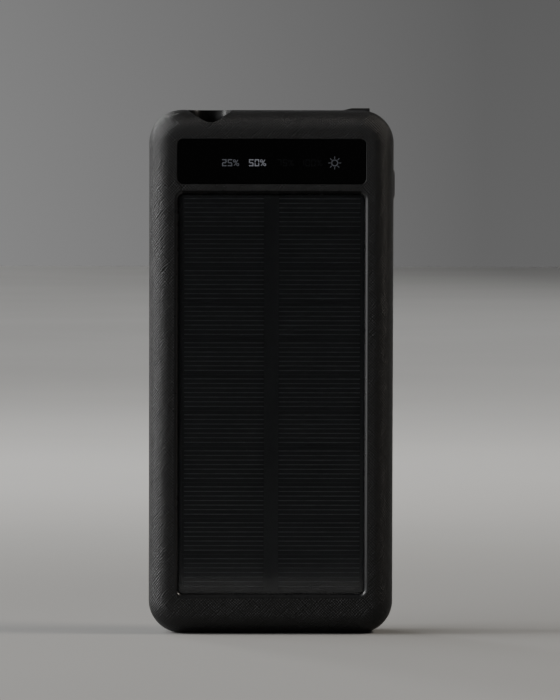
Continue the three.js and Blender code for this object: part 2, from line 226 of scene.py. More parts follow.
def wrap_grain(piece, roll, facing, flat_y):
    """Lays the grain's map, in millimetres, flat on the face and rolled over its edges."""
    side, deep = roll
    core = CORNER - side
    mean = (side + deep) / 2
    layer = piece.data.uv_layers.new(name="grain")
    for loop in piece.data.loops:
        x, y, z = piece.data.vertices[loop.vertex_index].co
        middle = core_point(x, z)
        out = Vector((x, z)) - middle
        spread = out.length
        behind = (y - flat_y) * -facing
        if spread > core:
            turn = math.atan2(max(deep - behind, 0) / deep, (spread - core) / side)
            along = mean * (math.pi / 2 - turn) + max(behind - deep, 0)
            out = out.normalized() * (core + along)
        layer.data[loop.index].uv = (middle + out) / MM


def plain_finish(name, colour, roughness, metallic=0.0):
    """A material with its shader's own numbers set, and the tree to add detail to."""
    material = bpy.data.materials.new(name)
    material.use_nodes = True
    tree = material.node_tree
    shader = tree.nodes["Principled BSDF"]
    shader.inputs["Base Color"].default_value = (*colour, 1)
    shader.inputs["Roughness"].default_value = roughness
    shader.inputs["Metallic"].default_value = metallic
    return material, tree, shader


def add_node(tree, kind, settings=None, **inputs):
    """A node with its settings and its unlinked inputs filled in."""
    made = tree.nodes.new(kind)
    for name, value in (settings or {}).items():
        setattr(made, name, value)
    for name, value in inputs.items():
        made.inputs[name.replace("_", " ")].default_value = value
    return made


def join(tree, source, target):
    """Links one socket to another."""
    tree.links.new(source, target)


def ramp(tree, source, low, high, to_low=0.0, to_high=1.0):
    """Maps a value from one range to another, and gives the result's socket."""
    made = add_node(tree, "ShaderNodeMapRange", From_Min=low, From_Max=high, To_Min=to_low, To_Max=to_high)
    join(tree, source, made.inputs["Value"])
    return made.outputs["Result"]


def work(tree, operation, first, second):
    """Arithmetic on two sockets, or a socket and a number."""
    made = add_node(tree, "ShaderNodeMath", {"operation": operation})
    for place, value in enumerate((first, second)):
        if isinstance(value, (int, float)):
            made.inputs[place].default_value = value
        else:
            join(tree, value, made.inputs[place])
    return made.outputs[0]


def shade_between(tree, shader, factor, dark, light):
    """Lets a value's socket choose the shader's colour between two."""
    made = add_node(tree, "ShaderNodeMix", {"data_type": "RGBA"}, A=(*dark, 1), B=(*light, 1))
    join(tree, factor, made.inputs["Factor"])
    join(tree, made.outputs["Result"], shader.inputs["Base Color"])


def own_place(tree):
    """The coordinates of the piece itself, in metres."""
    return add_node(tree, "ShaderNodeTexCoord").outputs["Object"]


def noise(tree, scale, detail=2.0, stretch=(1, 1, 1), place=None):
    """A noise on the piece's own or these coordinates, squeezed by this much along each."""
    mapping = add_node(tree, "ShaderNodeMapping", Scale=stretch)
    join(tree, place or own_place(tree), mapping.inputs["Vector"])
    made = add_node(tree, "ShaderNodeTexNoise", Scale=scale, Detail=detail, Roughness=0.5)
    join(tree, mapping.outputs["Vector"], made.inputs["Vector"])
    return made.outputs["Fac"]


def vary(tree, cloud, low, high, target):
    """Lets a noise drive a number of the shader between these two values."""
    join(tree, ramp(tree, cloud, 0.3, 0.7, low, high), target)


def raise_bumps(tree, shader, height, depth):
    """Turns a height into the shader's bumps, depth in metres."""
    bump = add_node(tree, "ShaderNodeBump", Strength=1.0, Distance=depth)
    join(tree, height, bump.inputs["Height"])
    join(tree, bump.outputs["Normal"], shader.inputs["Normal"])


def mottled(name, colour, dull, scale, metallic=0.0, specular=0.5, fine=None):
    """A moulded or polished face: its roughness wanders between two, and fine is its bumps'
    scale and depth in millimetres."""
    material, tree, shader = plain_finish(name, colour, dull[0], metallic)
    shader.inputs["Specular IOR Level"].default_value = specular
    vary(tree, noise(tree, scale, 3), *dull, shader.inputs["Roughness"])
    if fine:
        raise_bumps(tree, shader, noise(tree, fine[0], 2), fine[1] * MM)
    return material


def hatching(tree, wrap, turn):
    """Etched strokes at this angle, nearly even but broken: their slope and their height."""
    axes = []
    for quarter in (0, math.pi / 2):
        across = add_node(tree, "ShaderNodeVectorMath", {"operation": "DOT_PRODUCT"})
        across.inputs[1].default_value = (math.cos(turn + quarter), math.sin(turn + quarter), 0)
        join(tree, wrap, across.inputs[0])
        axes.append(across.outputs["Value"])
    lines, length = axes
    place = add_node(tree, "ShaderNodeCombineXYZ", Z=turn * 7)
    join(tree, lines, place.inputs["X"])
    join(tree, work(tree, "MULTIPLY", length, 0.35), place.inputs["Y"])
    wander = work(tree, "MULTIPLY", noise(tree, 0.8, 2, place=place.outputs[0]), 1.6)
    count = work(tree, "ADD", work(tree, "DIVIDE", lines, GRAIN_PITCH), wander)
    broken = ramp(tree, noise(tree, 1.7, 3, place=place.outputs[0]), 0.3, 0.56, 0.45, 1.0)
    phase = work(tree, "MULTIPLY", count, math.tau)
    slope = work(tree, "MULTIPLY", work(tree, "SINE", phase, 0), broken)
    height = ramp(tree, work(tree, "MULTIPLY", work(tree, "COSINE", phase, 0), broken), -1, 1)
    return slope, height


def grained_abs():
    """Black ABS with the etched cross-hatch: broken strokes both ways at 45 degrees, their grooves darkened by
    painted shade.
    """
    material, tree, shader = plain_finish("grained_abs", (0.005, 0.0052, 0.0056), 0.4)
    shader.inputs["Specular IOR Level"].default_value = 0.34
    wrap = add_node(tree, "ShaderNodeUVMap", {"uv_map": "grain"}).outputs["UV"]
    rising, rising_height = hatching(tree, wrap, math.pi / 4)
    falling, falling_height = hatching(tree, wrap, -math.pi / 4)
    lean = GRAIN_DEPTH * math.cos(math.pi / 4) / 2
    leaning = add_node(tree, "ShaderNodeCombineXYZ", Z=1.0)
    sideways = work(tree, "MULTIPLY", work(tree, "ADD", rising, falling), lean)
    upright = work(tree, "MULTIPLY", work(tree, "SUBTRACT", rising, falling), lean)
    join(tree, work(tree, "ADD", sideways, 0.5), leaning.inputs["X"])
    join(tree, work(tree, "ADD", upright, 0.5), leaning.inputs["Y"])
    grain = add_node(tree, "ShaderNodeNormalMap", {"uv_map": "grain"})
    join(tree, leaning.outputs[0], grain.inputs["Color"])
    join(tree, grain.outputs["Normal"], shader.inputs["Normal"])
    hatch = work(tree, "MAXIMUM", rising_height, falling_height)
    wear_and_groove_shade = ramp(tree, hatch, 0.45, 0.95)
    # Painted shade: the grooves of the hatch are coloured darker than its ridges, as if shaded.
    shade_between(tree, shader, wear_and_groove_shade, (0.001, 0.001, 0.0011), (0.009, 0.0091, 0.0094))
    join(tree, ramp(tree, wear_and_groove_shade, 0, 1, 0.5, 0.36), shader.inputs["Roughness"])
    return material


GRAINED = grained_abs()
# The same ABS where the mould is only fine blasted, as in the recesses.
SMOOTH = mottled("smooth_abs", (0.012, 0.0122, 0.0126), (0.26, 0.34), 400,
                 specular=0.42, fine=(9000, 0.004))
# A darker, low-shine black, as painted shade on the torch bore's wall and on the rolled lip above the panel.
# Neither throws a glare.
DULL_PAINTED_SHADE = mottled("dull_black", (0.006, 0.006, 0.0062), (0.22, 0.3), 500, specular=0.07)


def moved_copy(piece, name, shift):
    """A copy with a mesh of its own, moved by this much."""
    other = piece.copy()
    other.data = piece.data.copy()
    other.name = other.data.name = name
    for vertex in other.data.vertices:
        vertex.co += Vector(shift)
    bpy.context.scene.collection.objects.link(other)
    return other


def paint(piece, *finishes):
    """Gives the piece these finishes in place of any that it had."""
    piece.data.materials.clear()
    for finish in finishes:
        piece.data.materials.append(finish)


def on_skin(face, skin_y, facing, roll):
    """Whether a face lies on a cover's rolled outer skin."""
    x, y, z = face.center
    side, deep = roll
    spread = (Vector((x, z)) - core_point(x, z)).length
    behind = (skin_y - y) * facing
    if behind < 1e-6:
        return True
    if behind > deep:
        return spread > CORNER - 0.1 * MM
    rise = (deep - behind) / deep
    skin = CORNER - side + side * math.sqrt(max(1 - rise * rise, 0))
    return abs(spread - skin) < 0.45 * MM


def coat_cover(piece, skin_y, facing, roll):
    """Grained ABS on the cover's outer skin, and smooth ABS on all the rest."""
    paint(piece, GRAINED, SMOOTH)
    for face in piece.data.polygons:
        face.material_index = 0 if on_skin(face, skin_y, facing, roll) else 1


panel_low, panel_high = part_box("solar_laminate")
tape_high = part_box("panel_tape")[1]
window_low, window_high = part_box("display_window")
film_low, film_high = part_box("legend_film")
FIT = 0.15 * MM
face_y = front_low.y

cover = rolled_shell("front_cover_shell", front_low, front_high, -1, FRONT_ROLL)
solid_blank = moved_copy(cover, "solid_blank", (0, 0, 0))

SOLE_BACK = -5.2 * MM
inside = rolled_shell(
    "inside", (front_low.x, SOLE_BACK, front_low.z), (front_high.x, front_high.y + MM, front_high.z),
    -1, (0.6 * MM, 0.6 * MM), inset=WALL, steps=3, segments=12,
)
use_tool(cover, inside)


def recess_cutter(name, low, high, radius, floor_y, lip):
    """A recess's cutter: the mouth rolls over by the lip's (wide, deep), then goes straight in."""
    wide, deep = lip
    piece = start_block(name, (low.x - wide, face_y - 2 * MM, low.z - wide),
                        (high.x + wide, face_y, high.z + wide))
    round_corners(piece, 1, radius + wide, 8)
    steps = [(inwards, outwards) for outwards, inwards in quarter_steps(deep, wide, 8)]
    step_in(piece, (0, 1, 0), steps + [(0.0, floor_y - face_y - deep)])
    put_down()
    return piece


around = Vector((FIT, 0, FIT))
tray = recess_cutter("tray", panel_low - Vector((FIT, 0, 0.04 * MM)), panel_high + around,
                     1.5 * MM, tape_high.y, (1.15 * MM, panel_low.y - face_y + 0.1 * MM))
use_tool(cover, tray)
pocket = recess_cutter("pocket", window_low - around, window_high + around,
                       1.6 * MM, window_high.y, (0.12 * MM, 0.12 * MM))
use_tool(cover, pocket)
sight = start_block("sight", (film_low.x - 0.2 * MM, film_low.y - MM, film_low.z - 0.2 * MM),
                    (film_high.x + 0.2 * MM, 0, film_high.z + 0.2 * MM))
use_tool(cover, sight)

flap_low, flap_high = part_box("port_flap")
SLOT_LEFT = -10.5 * MM
SLOT_FLOOR = 148.8 * MM
SLOT_HALF = 3.6 * MM
SOCKET_GAP = 0.2 * MM
flap_slot = rounded_block("flap_slot", (SLOT_LEFT, -SLOT_HALF, SLOT_FLOOR),
                          (flap_high.x + 0.3 * MM, SLOT_HALF, front_high.z + 2 * MM), 0.9 * MM, along=2)
use_tool(cover, flap_slot)
for socket, radius in (("usb_a_shell", 0.8 * MM), ("usb_c_shell", 1.8 * MM)):
    low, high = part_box(socket)
    mouth = rounded_block("mouth", (low.x - SOCKET_GAP, low.y - SOCKET_GAP, SLOT_FLOOR - 2 * MM),
                          (high.x + SOCKET_GAP, high.y + SOCKET_GAP, SLOT_FLOOR + MM), radius, along=2)
    use_tool(cover, mouth)

torch_low, torch_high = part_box("torch_reflector")
torch_radius = (torch_high.x - torch_low.x) / 2
torch_x, torch_y = (torch_low.x + torch_high.x) / 2, torch_high.y - torch_radius
bore_radius = torch_radius + FIT
BOSS_RADIUS = 6.7 * MM
BOARD_WELL = 4.4 * MM
boss = start_drum("boss", BOSS_RADIUS, (torch_x, torch_y, torch_low.z),
                  (torch_x, torch_y, front_high.z - 1.5 * MM), 48)
use_tool(boss, solid_blank, "INTERSECT", keep=True)
use_tool(cover, boss, "UNION")


def turned(name, profile, x, y, segments=96):
    """A turned part: its half section, as (radius, height) points, spun about an upright axis."""
    select_only()
    bpy.ops.mesh.primitive_plane_add(size=1)
    piece = settle(name)
    bpy.ops.object.mode_set(mode="EDIT")
    bpy.ops.mesh.delete(type="VERT")
    cage = bmesh.from_edit_mesh(piece.data)
    points = [cage.verts.new((x + radius, y, height)) for radius, height in profile]
    for a, b in zip(points, points[1:]):
        cage.edges.new((a, b))
    bmesh.update_edit_mesh(piece.data)
    bpy.ops.mesh.select_all(action="SELECT")
    bpy.ops.mesh.spin(steps=segments, angle=math.tau, center=(x, y, 0), axis=(0, 0, 1))
    bpy.ops.mesh.select_all(action="SELECT")
    bpy.ops.mesh.remove_doubles(threshold=1e-6)
    bpy.ops.mesh.normals_make_consistent(inside=False)
    put_down()
    return piece


bore_floor = torch_low.z - 0.1 * MM
FLARE_FOOT = 146.3 * MM
FLARE = ((FLARE_FOOT, 0), (148.1 * MM, 0.2 * MM), (149.2 * MM, 0.45 * MM), (150 * MM, 0.75 * MM),
         (151.5 * MM, 1.5 * MM))
FLARE_LEAN = -0.3 * MM
bore_profile = [(0, bore_floor), (bore_radius, bore_floor)]
bore_profile += [(bore_radius + grow, height) for height, grow in FLARE] + [(0, FLARE[-1][0])]
bore = turned("bore", bore_profile, torch_x, torch_y)
pick(bore, "VERT", lambda v: v.co.z > FLARE[1][0] - 0.1 * MM)
bpy.ops.transform.translate(value=(FLARE_LEAN, 0, 0))
put_down()
use_tool(cover, bore)
well = start_drum("well", BOARD_WELL, (torch_x, torch_y, torch_low.z - 1.4 * MM),
                  (torch_x, torch_y, torch_low.z + MM), 48)
use_tool(cover, well)

button_low, button_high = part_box("button_cap")
button_z = (button_low.z + button_high.z) / 2
HOLE_HALF_WIDE = 2.3 * MM
HOLE_HALF_TALL = 4.5 * MM
hole = rounded_block("hole", (front_high.x - 5 * MM, -HOLE_HALF_WIDE, button_z - HOLE_HALF_TALL),
                     (front_high.x + 5 * MM, HOLE_HALF_WIDE, button_z + HOLE_HALF_TALL),
                     HOLE_HALF_WIDE - 0.01 * MM, along=0, segments=12)
use_tool(cover, hole)

POST_RADIUS = 2.8 * MM
POST_END = 4.2 * MM
screws = [sum(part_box(f"cover_screw_{n}"), Vector()) / 2 for n in range(1, 5)]
for place in screws:
    use_tool(cover, start_pin("post", POST_RADIUS, place, SOLE_BACK - 0.5 * MM, POST_END), "UNION")
    use_tool(cover, start_pin("pilot", 1.1 * MM, place, -3.1 * MM, 6 * MM, 24))
lead_slot = start_block("lead_slot", (-6 * MM, -7.4 * MM, 116.4 * MM), (6 * MM, 0, 123 * MM))
use_tool(cover, lead_slot)

wrap_grain(cover, FRONT_ROLL, -1, face_y)


def faces_bore(face):
    """Whether a face is part of the torch bore's wall, as seen from its axis."""
    x, y, z = face.center
    inward = Vector((torch_x - x, torch_y - y, 0))
    upright = abs(face.normal.x) + abs(face.normal.y) > 0.2
    close = inward.length < bore_radius + 1.2 * MM and z > torch_low.z - MM
    return close and upright and face.normal.dot(inward) > 0


def on_tray_lip(face):
    """Whether a face is part of the rolled lip above the panel."""
    x, y, z = face.center
    above = panel_high.z - 0.5 * MM < z < panel_high.z + 2 * MM and abs(x) < panel_high.x - MM
    return above and face_y + 0.02 * MM < y < panel_low.y + MM and face.normal.z < -0.2


coat_cover(cover, face_y, -1, FRONT_ROLL)
# Painted shade: the bore's wall and the lip above the panel take the darker black.
cover.data.materials.append(DULL_PAINTED_SHADE)
for face in cover.data.polygons:
    small = face.material_index == 1 or face.area <= 1e-6
    if small and faces_bore(face) or on_tray_lip(face):
        face.material_index = 2
smooth(cover)
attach(cover, "casing")
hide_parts("front_cover")

# --------------------------------------------------
# Rear cover: the shallow half of the casing in the same grained ABS, held on by
# four screws in round sinks. A smooth shallow panel is left for the rating print.
# --------------------------------------------------
REAR_ROLL = (4 * MM, 4 * MM)
HEAD_SEAT = 8.5 * MM
back_y = rear_high.y

rear = rolled_shell("rear_cover_shell", rear_low, rear_high, 1, REAR_ROLL)
hollow = rolled_shell(
    "hollow", (rear_low.x, rear_low.y - MM, rear_low.z), (rear_high.x, rear_high.y - WALL, rear_high.z),
    1, (2 * MM, 1.4 * MM), inset=WALL, steps=4, segments=12,
)
use_tool(rear, hollow)
for place in screws:
    use_tool(rear, start_pin("post", POST_RADIUS, place, rear_low.y, HEAD_SEAT), "UNION")
    use_tool(rear, start_pin("sink", 2.35 * MM, place, HEAD_SEAT - 0.1 * MM, 12 * MM, 48))
    use_tool(rear, start_pin("through", 1.15 * MM, place, 0, 9 * MM, 24))
rating = rounded_block("rating", (-22 * MM, back_y - 0.3 * MM, 22 * MM),
                       (22 * MM, back_y + MM, 46 * MM), 2 * MM)
use_tool(rear, rating)
wrap_grain(rear, REAR_ROLL, 1, back_y)
coat_cover(rear, back_y, 1, REAR_ROLL)
smooth(rear)
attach(rear, "casing")
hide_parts("rear_cover")

# --------------------------------------------------
# Solar laminate: a clear resin sheet cast over the cells, its face faintly
# matted so that it doesn't mirror the sky. The cells are seen through it.
# --------------------------------------------------


def clear_sheet(name, tint, roughness, ior, mottle=0.0):
    """A clear sheet: it passes light with a tint, and shines by the angle. mottle is in mm."""
    material, tree, shader = plain_finish(name, tint, roughness)
    tree.nodes.remove(shader)
    output = next(n for n in tree.nodes if n.type == "OUTPUT_MATERIAL")
    see = add_node(tree, "ShaderNodeBsdfTransparent", Color=(*tint, 1))
    shine = add_node(tree, "ShaderNodeBsdfAnisotropic", Roughness=roughness)
    rim = add_node(tree, "ShaderNodeFresnel", IOR=ior)
    mix = add_node(tree, "ShaderNodeMixShader")
    join(tree, rim.outputs[0], mix.inputs[0])
    join(tree, see.outputs[0], mix.inputs[1])
    join(tree, shine.outputs[0], mix.inputs[2])
    join(tree, mix.outputs[0], output.inputs["Surface"])
    bump = add_node(tree, "ShaderNodeBump", Strength=1.0, Distance=mottle * MM)
    join(tree, noise(tree, 900, 3), bump.inputs["Height"])
    join(tree, bump.outputs["Normal"], shine.inputs["Normal"])
    join(tree, bump.outputs["Normal"], rim.inputs["Normal"])
    vary(tree, noise(tree, 120, 4), roughness * 0.85, roughness * 1.15, shine.inputs["Roughness"])
    return material


# Its back stands just clear of the cells' faces, so that the two share no plane.
sheet_high = (panel_high.x, panel_high.y - 0.04 * MM, panel_high.z)
sheet = rounded_block("solar_laminate_sheet", panel_low, sheet_high, 1.35 * MM)
soften_edges(sheet, 0.12 * MM)
sheet.data.materials.append(clear_sheet("laminate_resin", (0.9, 0.91, 0.92), 0.05, 1.36, 0.0006))
smooth(sheet)
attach(sheet, "casing")
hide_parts("solar_laminate")

# --------------------------------------------------
# Solar cells: thin dark silicon strips in two strings of eleven, laid on a black
# board. Each has seven fine fingers of silver paste, printed and fired on its face.
# --------------------------------------------------
ROWS = 11
FINGERS = 7
FINGER_PITCH = 1.31 * MM
FINGER_WIDE = 0.24 * MM
FINGER_HIGH = 0.03 * MM
CELL_EDGE = 0.1 * MM
LEFT_EDGE = 0.6 * MM


def silicon():
    """Blue-black etched silicon, a little uneven from cell to cell."""
    material, tree, shader = plain_finish("silicon", (0.02, 0.0205, 0.022), 0.14)
    shade_between(tree, shader, noise(tree, 90, 3), (0.048, 0.0482, 0.0488), (0.056, 0.0563, 0.057))
    vary(tree, noise(tree, 2500, 2), 0.12, 0.17, shader.inputs["Roughness"])
    raise_bumps(tree, shader, noise(tree, 5000, 2), 0.002 * MM)
    return material


def silver_paste():
    """Fired silver paste, dull and a little broken along its length."""
    material, tree, shader = plain_finish("silver_paste", (0.05, 0.052, 0.055), 0.5, 0.3)
    broken = ramp(tree, noise(tree, 260, 2, (1, 1, 6)), 0.35, 0.65)
    shade_between(tree, shader, broken, (0.17, 0.1712, 0.174), (0.24, 0.242, 0.246))
    return material


SILICON = silicon()
PASTE = silver_paste()


def finger(name, low, high):
    """One printed line: a low bar with its upper edges rounded off."""
    piece = start_block(name, low, high)
    pick(piece, "EDGE", lambda e: all(v.co.y < low[1] + 1e-7 for v in e.verts))
    bpy.ops.mesh.bevel(offset=FINGER_HIGH * 0.6, segments=1, affect="EDGES")
    put_down()
    return piece


def join_pieces(name, pieces):
    """Joins separate bars into one piece."""
    select_only(*pieces)
    bpy.ops.object.join()
    pieces[0].name = pieces[0].data.name = name
    return pieces[0]


for side, left_edge in (("l", LEFT_EDGE), ("r", CELL_EDGE)):
    first_low, first_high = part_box(f"solar_cell_{side}01")
    middle_z = (first_low.z + first_high.z) / 2
    bars = []
    for n in range(FINGERS):
        height = middle_z + (n - (FINGERS - 1) / 2) * FINGER_PITCH
        bars.append(finger(
            "finger",
            (first_low.x + left_edge, first_low.y - FINGER_HIGH, height - FINGER_WIDE / 2),
            (first_high.x - CELL_EDGE, first_low.y, height + FINGER_WIDE / 2),
        ))
    fingers = join_pieces(f"fingers_{side}01", bars)
    paint(fingers, PASTE)
    for row in range(2, ROWS + 1):
        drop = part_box(f"solar_cell_{side}{row:02d}")[0].z - first_low.z
        copy = moved_copy(fingers, f"fingers_{side}{row:02d}", (0, 0, drop))
        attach(copy, "casing")
    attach(fingers, "casing")

for name, cell in frame["nodes"].items():
    if name.startswith("solar_cell"):
        paint(cell, SILICON)

# --------------------------------------------------
# Display: a polished smoked acrylic window bonded in its pocket. Behind it the
# printed film has clear numbers, lit from the light guide by one LED each.
# --------------------------------------------------
DIGIT_HIGH = 2.0 * MM
DIGIT_WIDE = 1.3 * MM
STROKE = 0.3 * MM
GAP = 0.32 * MM
legend_back = film_low.y - 0.02 * MM
legend_front = legend_back - 0.06 * MM
COOL_WHITE = (0.9, 0.94, 1.0)
SEGMENTS = {"0": "abcdef", "1": "bc", "2": "abdeg", "5": "acdfg", "7": "abc"}


def stroke(low_x, high_x, low_z, high_z, lean=0.0):
    """One stroke of a number, a flat bar with rounded corners."""
    piece = start_block("stroke", (low_x, legend_front, low_z), (high_x, legend_back, high_z))
    round_corners(piece, 1, min(high_x - low_x, high_z - low_z) * 0.3, 2)
    if lean:
        bpy.ops.mesh.select_all(action="SELECT")
        middle = ((low_x + high_x) / 2, 0, (low_z + high_z) / 2)
        bpy.ops.transform.rotate(value=lean, orient_axis="Y", center_override=middle)
    put_down()
    return piece


def digit(figure, x, z):
    """A number's strokes: a is the top, then b to f clockwise, and g is the bar across."""
    left, right = x - DIGIT_WIDE / 2, x + DIGIT_WIDE / 2
    foot, head = z - DIGIT_HIGH / 2, z + DIGIT_HIGH / 2
    upper = (z + STROKE * 0.3, head - STROKE * 0.9)
    lower = (foot + STROKE * 0.9, z - STROKE * 0.3)
    places = {
        "a": (left, right, head - STROKE, head),
        "b": (right - STROKE, right, *upper),
        "c": (right - STROKE, right, *lower),
        "d": (left, right, foot, foot + STROKE),
        "e": (left, left + STROKE, *lower),
        "f": (left, left + STROKE, *upper),
        "g": (left + STROKE * 0.4, right - STROKE * 0.4, z - STROKE / 2, z + STROKE / 2),
    }
    return [stroke(*places[part]) for part in SEGMENTS[figure]]


def ring(x, z, radius, thick):
    """A flat ring, as of a sun or a percent sign."""
    select_only()
    bpy.ops.mesh.primitive_torus_add(
        location=(x, (legend_front + legend_back) / 2, z), rotation=(math.pi / 2, 0, 0),
        major_radius=radius, minor_radius=thick / 2, major_segments=24, minor_segments=6,
    )
    bpy.context.object.scale = (1, 1, (legend_back - legend_front) / thick)
    return settle("ring")


def percent(x, z):
    """Two small rings either side of a leaning stroke."""
    side, rise = 0.47 * MM, DIGIT_HIGH / 2 - 0.48 * MM
    dots = [ring(x + way * side, z - way * rise, 0.31 * MM, 0.22 * MM) for way in (-1, 1)]
    return dots + [stroke(x - 0.12 * MM, x + 0.12 * MM, z - DIGIT_HIGH / 2, z + DIGIT_HIGH / 2,
                          math.radians(-32))]


def glowing(name, colour, strength):
    """Milky light through a clear part of the film, a little uneven."""
    material, tree, shader = plain_finish(name, (0.02, 0.02, 0.02), 0.5)
    shader.inputs["Emission Color"].default_value = (*colour, 1)
    vary(tree, noise(tree, 800, 2), strength * 0.85, strength * 1.15, shader.inputs["Emission Strength"])
    return material


def unlit_film():
    """A clear part of the film whose LED is off: a shade paler than the black, with a faint painted glow for stray
    light behind it.
    """
    material, tree, shader = plain_finish("unlit_film", (0.12, 0.12, 0.122), 0.6)
    shade_between(tree, shader, noise(tree, 700, 2), (0.32, 0.32, 0.325), (0.42, 0.42, 0.425))
    # Painted glow: a faint emission stands in for stray light behind the unlit numbers.
    shader.inputs["Emission Color"].default_value = (*COOL_WHITE, 1)
    shader.inputs["Emission Strength"].default_value = 0.035
    return material


FAINT_GLOW = unlit_film()
legends = {
    "25": (glowing("glow_25", COOL_WHITE, 0.9), "lit_legend"),
    "50": (glowing("glow_50", (0.93, 0.96, 1.0), 1.8), "lit_legend"),
    "75": (FAINT_GLOW, "unlit_legend"),
    "100": (FAINT_GLOW, "unlit_legend"),
}
LEGEND_SHIFT = 0.24 * MM
led_low, led_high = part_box("led_25")
legend_z = (led_low.z + led_high.z) / 2 - 0.3 * MM
for figures, (glow, slot) in legends.items():
    led_low, led_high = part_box(f"led_{figures}")
    step = DIGIT_WIDE + GAP
    x = (led_low.x + led_high.x) / 2 - step * len(figures) / 2 - LEGEND_SHIFT
    parts = []
    for figure in figures:
        parts += digit(figure, x, legend_z)
        x += step
    parts += percent(x + 0.12 * MM, legend_z)
    legend = join_pieces(f"legend_{figures}", parts)
    paint(legend, glow)
    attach(legend, "casing")

RAYS = 8
RAY_HALF = 0.11 * MM
RAY_REACH = (1.1 * MM, 1.85 * MM)
sun_low, sun_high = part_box("led_sun")
sun_x = (sun_low.x + sun_high.x) / 2 - 0.35 * MM
rays = [ring(sun_x, legend_z, 0.84 * MM, 0.3 * MM)]
for n in range(RAYS):
    ray = start_block("ray", (sun_x - RAY_HALF, legend_front, legend_z + RAY_REACH[0]),
                      (sun_x + RAY_HALF, legend_back, legend_z + RAY_REACH[1]))
    round_corners(ray, 1, 0.05 * MM, 2)
    bpy.ops.mesh.select_all(action="SELECT")
    bpy.ops.transform.rotate(value=n * math.tau / RAYS, orient_axis="Y",
                             center_override=(sun_x, 0, legend_z))
    put_down()
    rays.append(ray)
sun = join_pieces("legend_sun", rays)
paint(sun, glowing("glow_sun", COOL_WHITE, 0.7))
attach(sun, "casing")

pane = rounded_block("display_window_pane", window_low,
                     (window_high.x, legend_front - 0.04 * MM, window_high.z), 1.45 * MM)
soften_edges(pane, 0.15 * MM)
pane.data.materials.append(clear_sheet("smoked_acrylic", (0.3, 0.3, 0.31), 0.06, 1.49, 0.0))
smooth(pane)
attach(pane, "casing")
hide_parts("display_window")

# --------------------------------------------------
# Torch: a drawn and chromed reflector cup pressed in the bore, its rim ending at
# the foot of the bore's flare. A flat lens closes it over a single white LED.
# --------------------------------------------------
CHROME = mottled("chrome", (0.72, 0.73, 0.75), (0.07, 0.16), 600, metallic=1.0)
# The cup's upper ring is painted a soft black, so that it throws no glare.
CUP_BLACK = mottled("deep_black", (0.003, 0.003, 0.003), (0.16, 0.26), 900, specular=0.12)

CUP_FOOT = 3.6 * MM
LED_HOLE = 2.3 * MM
bowl = torch_radius - 0.3 * MM
lens_low, lens_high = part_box("torch_lens")
seat = lens_low.z - 0.05 * MM
cup_top = FLARE_FOOT + 0.15 * MM
cup_profile = [(CUP_FOOT, torch_low.z), (torch_radius, seat), (torch_radius, cup_top),
               (bowl, cup_top), (bowl, seat), (bowl - 0.5 * MM, seat)]
cup_profile += [((1.9 + 2.4 * math.sqrt(t)) * MM, torch_low.z + t * (seat - 0.15 * MM - torch_low.z))
                for t in (0.95, 0.7, 0.45, 0.25, 0.1)]
cup_profile += [(LED_HOLE, torch_low.z), (CUP_FOOT, torch_low.z)]
cup = turned("torch_cup", cup_profile, torch_x, torch_y)
use_tool(cup, solid_blank, "INTERSECT", keep=True)
soften_edges(cup, 0.06 * MM, 2, 50)
paint(cup, CHROME, CUP_BLACK)
for face in cup.data.polygons:
    face.material_index = 1 if face.center.z > seat + 0.02 * MM else 0
smooth(cup, 35)
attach(cup, "casing")
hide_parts("torch_reflector")
bpy.data.objects.remove(solid_blank)

lens_radius = (lens_high.x - lens_low.x) / 2
LENS_CHAMFER = 0.15 * MM
lens_profile = [(0, lens_low.z), (lens_radius, lens_low.z), (lens_radius, lens_high.z - LENS_CHAMFER),
                (lens_radius - LENS_CHAMFER, lens_high.z), (3.4 * MM, lens_high.z), (0, lens_high.z)]
lens = turned("torch_lens_disc", lens_profile, torch_x, torch_y, 64)
lens.data.materials.append(clear_sheet("clear_lens", (0.95, 0.96, 0.97), 0.03, 1.5, 0.0))
smooth(lens)
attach(lens, "casing")
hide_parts("torch_lens")

# --------------------------------------------------
# Port flap: one moulding of black silicone rubber. Its tail is pressed in the
# slot by the torch, a thin web bends, and a raised lip at the free end is pulled.
# --------------------------------------------------
hinge = next(j for j in frame["joints"] if j["name"] == "flap_hinge")
hinge_x = hinge["pos_m"][0]
LIP_LONG = 5.1 * MM
LIP_RAMP = 2.6 * MM
top_z = front_high.z
WEB_HALF = 0.3 * MM
WEB_EASE = 0.8 * MM
WEB_TOP_CUT = 0.42 * MM
WEB_FOOT_CUT = 0.3 * MM
# Each plug's width, depth, corners and reach below the slot's floor.
PLUGS = {"usb_a_shell": (11.4 * MM, 4.2 * MM, 0.5 * MM, 1.3 * MM),
         "usb_c_shell": (7 * MM, 1.6 * MM, 0.75 * MM, 0.7 * MM)}
RUBBER = mottled("silicone", (0.008, 0.008, 0.0085), (0.5, 0.64), 700, fine=(6000, 0.004))
RUBBER.node_tree.nodes["Principled BSDF"].inputs["Sheen Weight"].default_value = 0.05

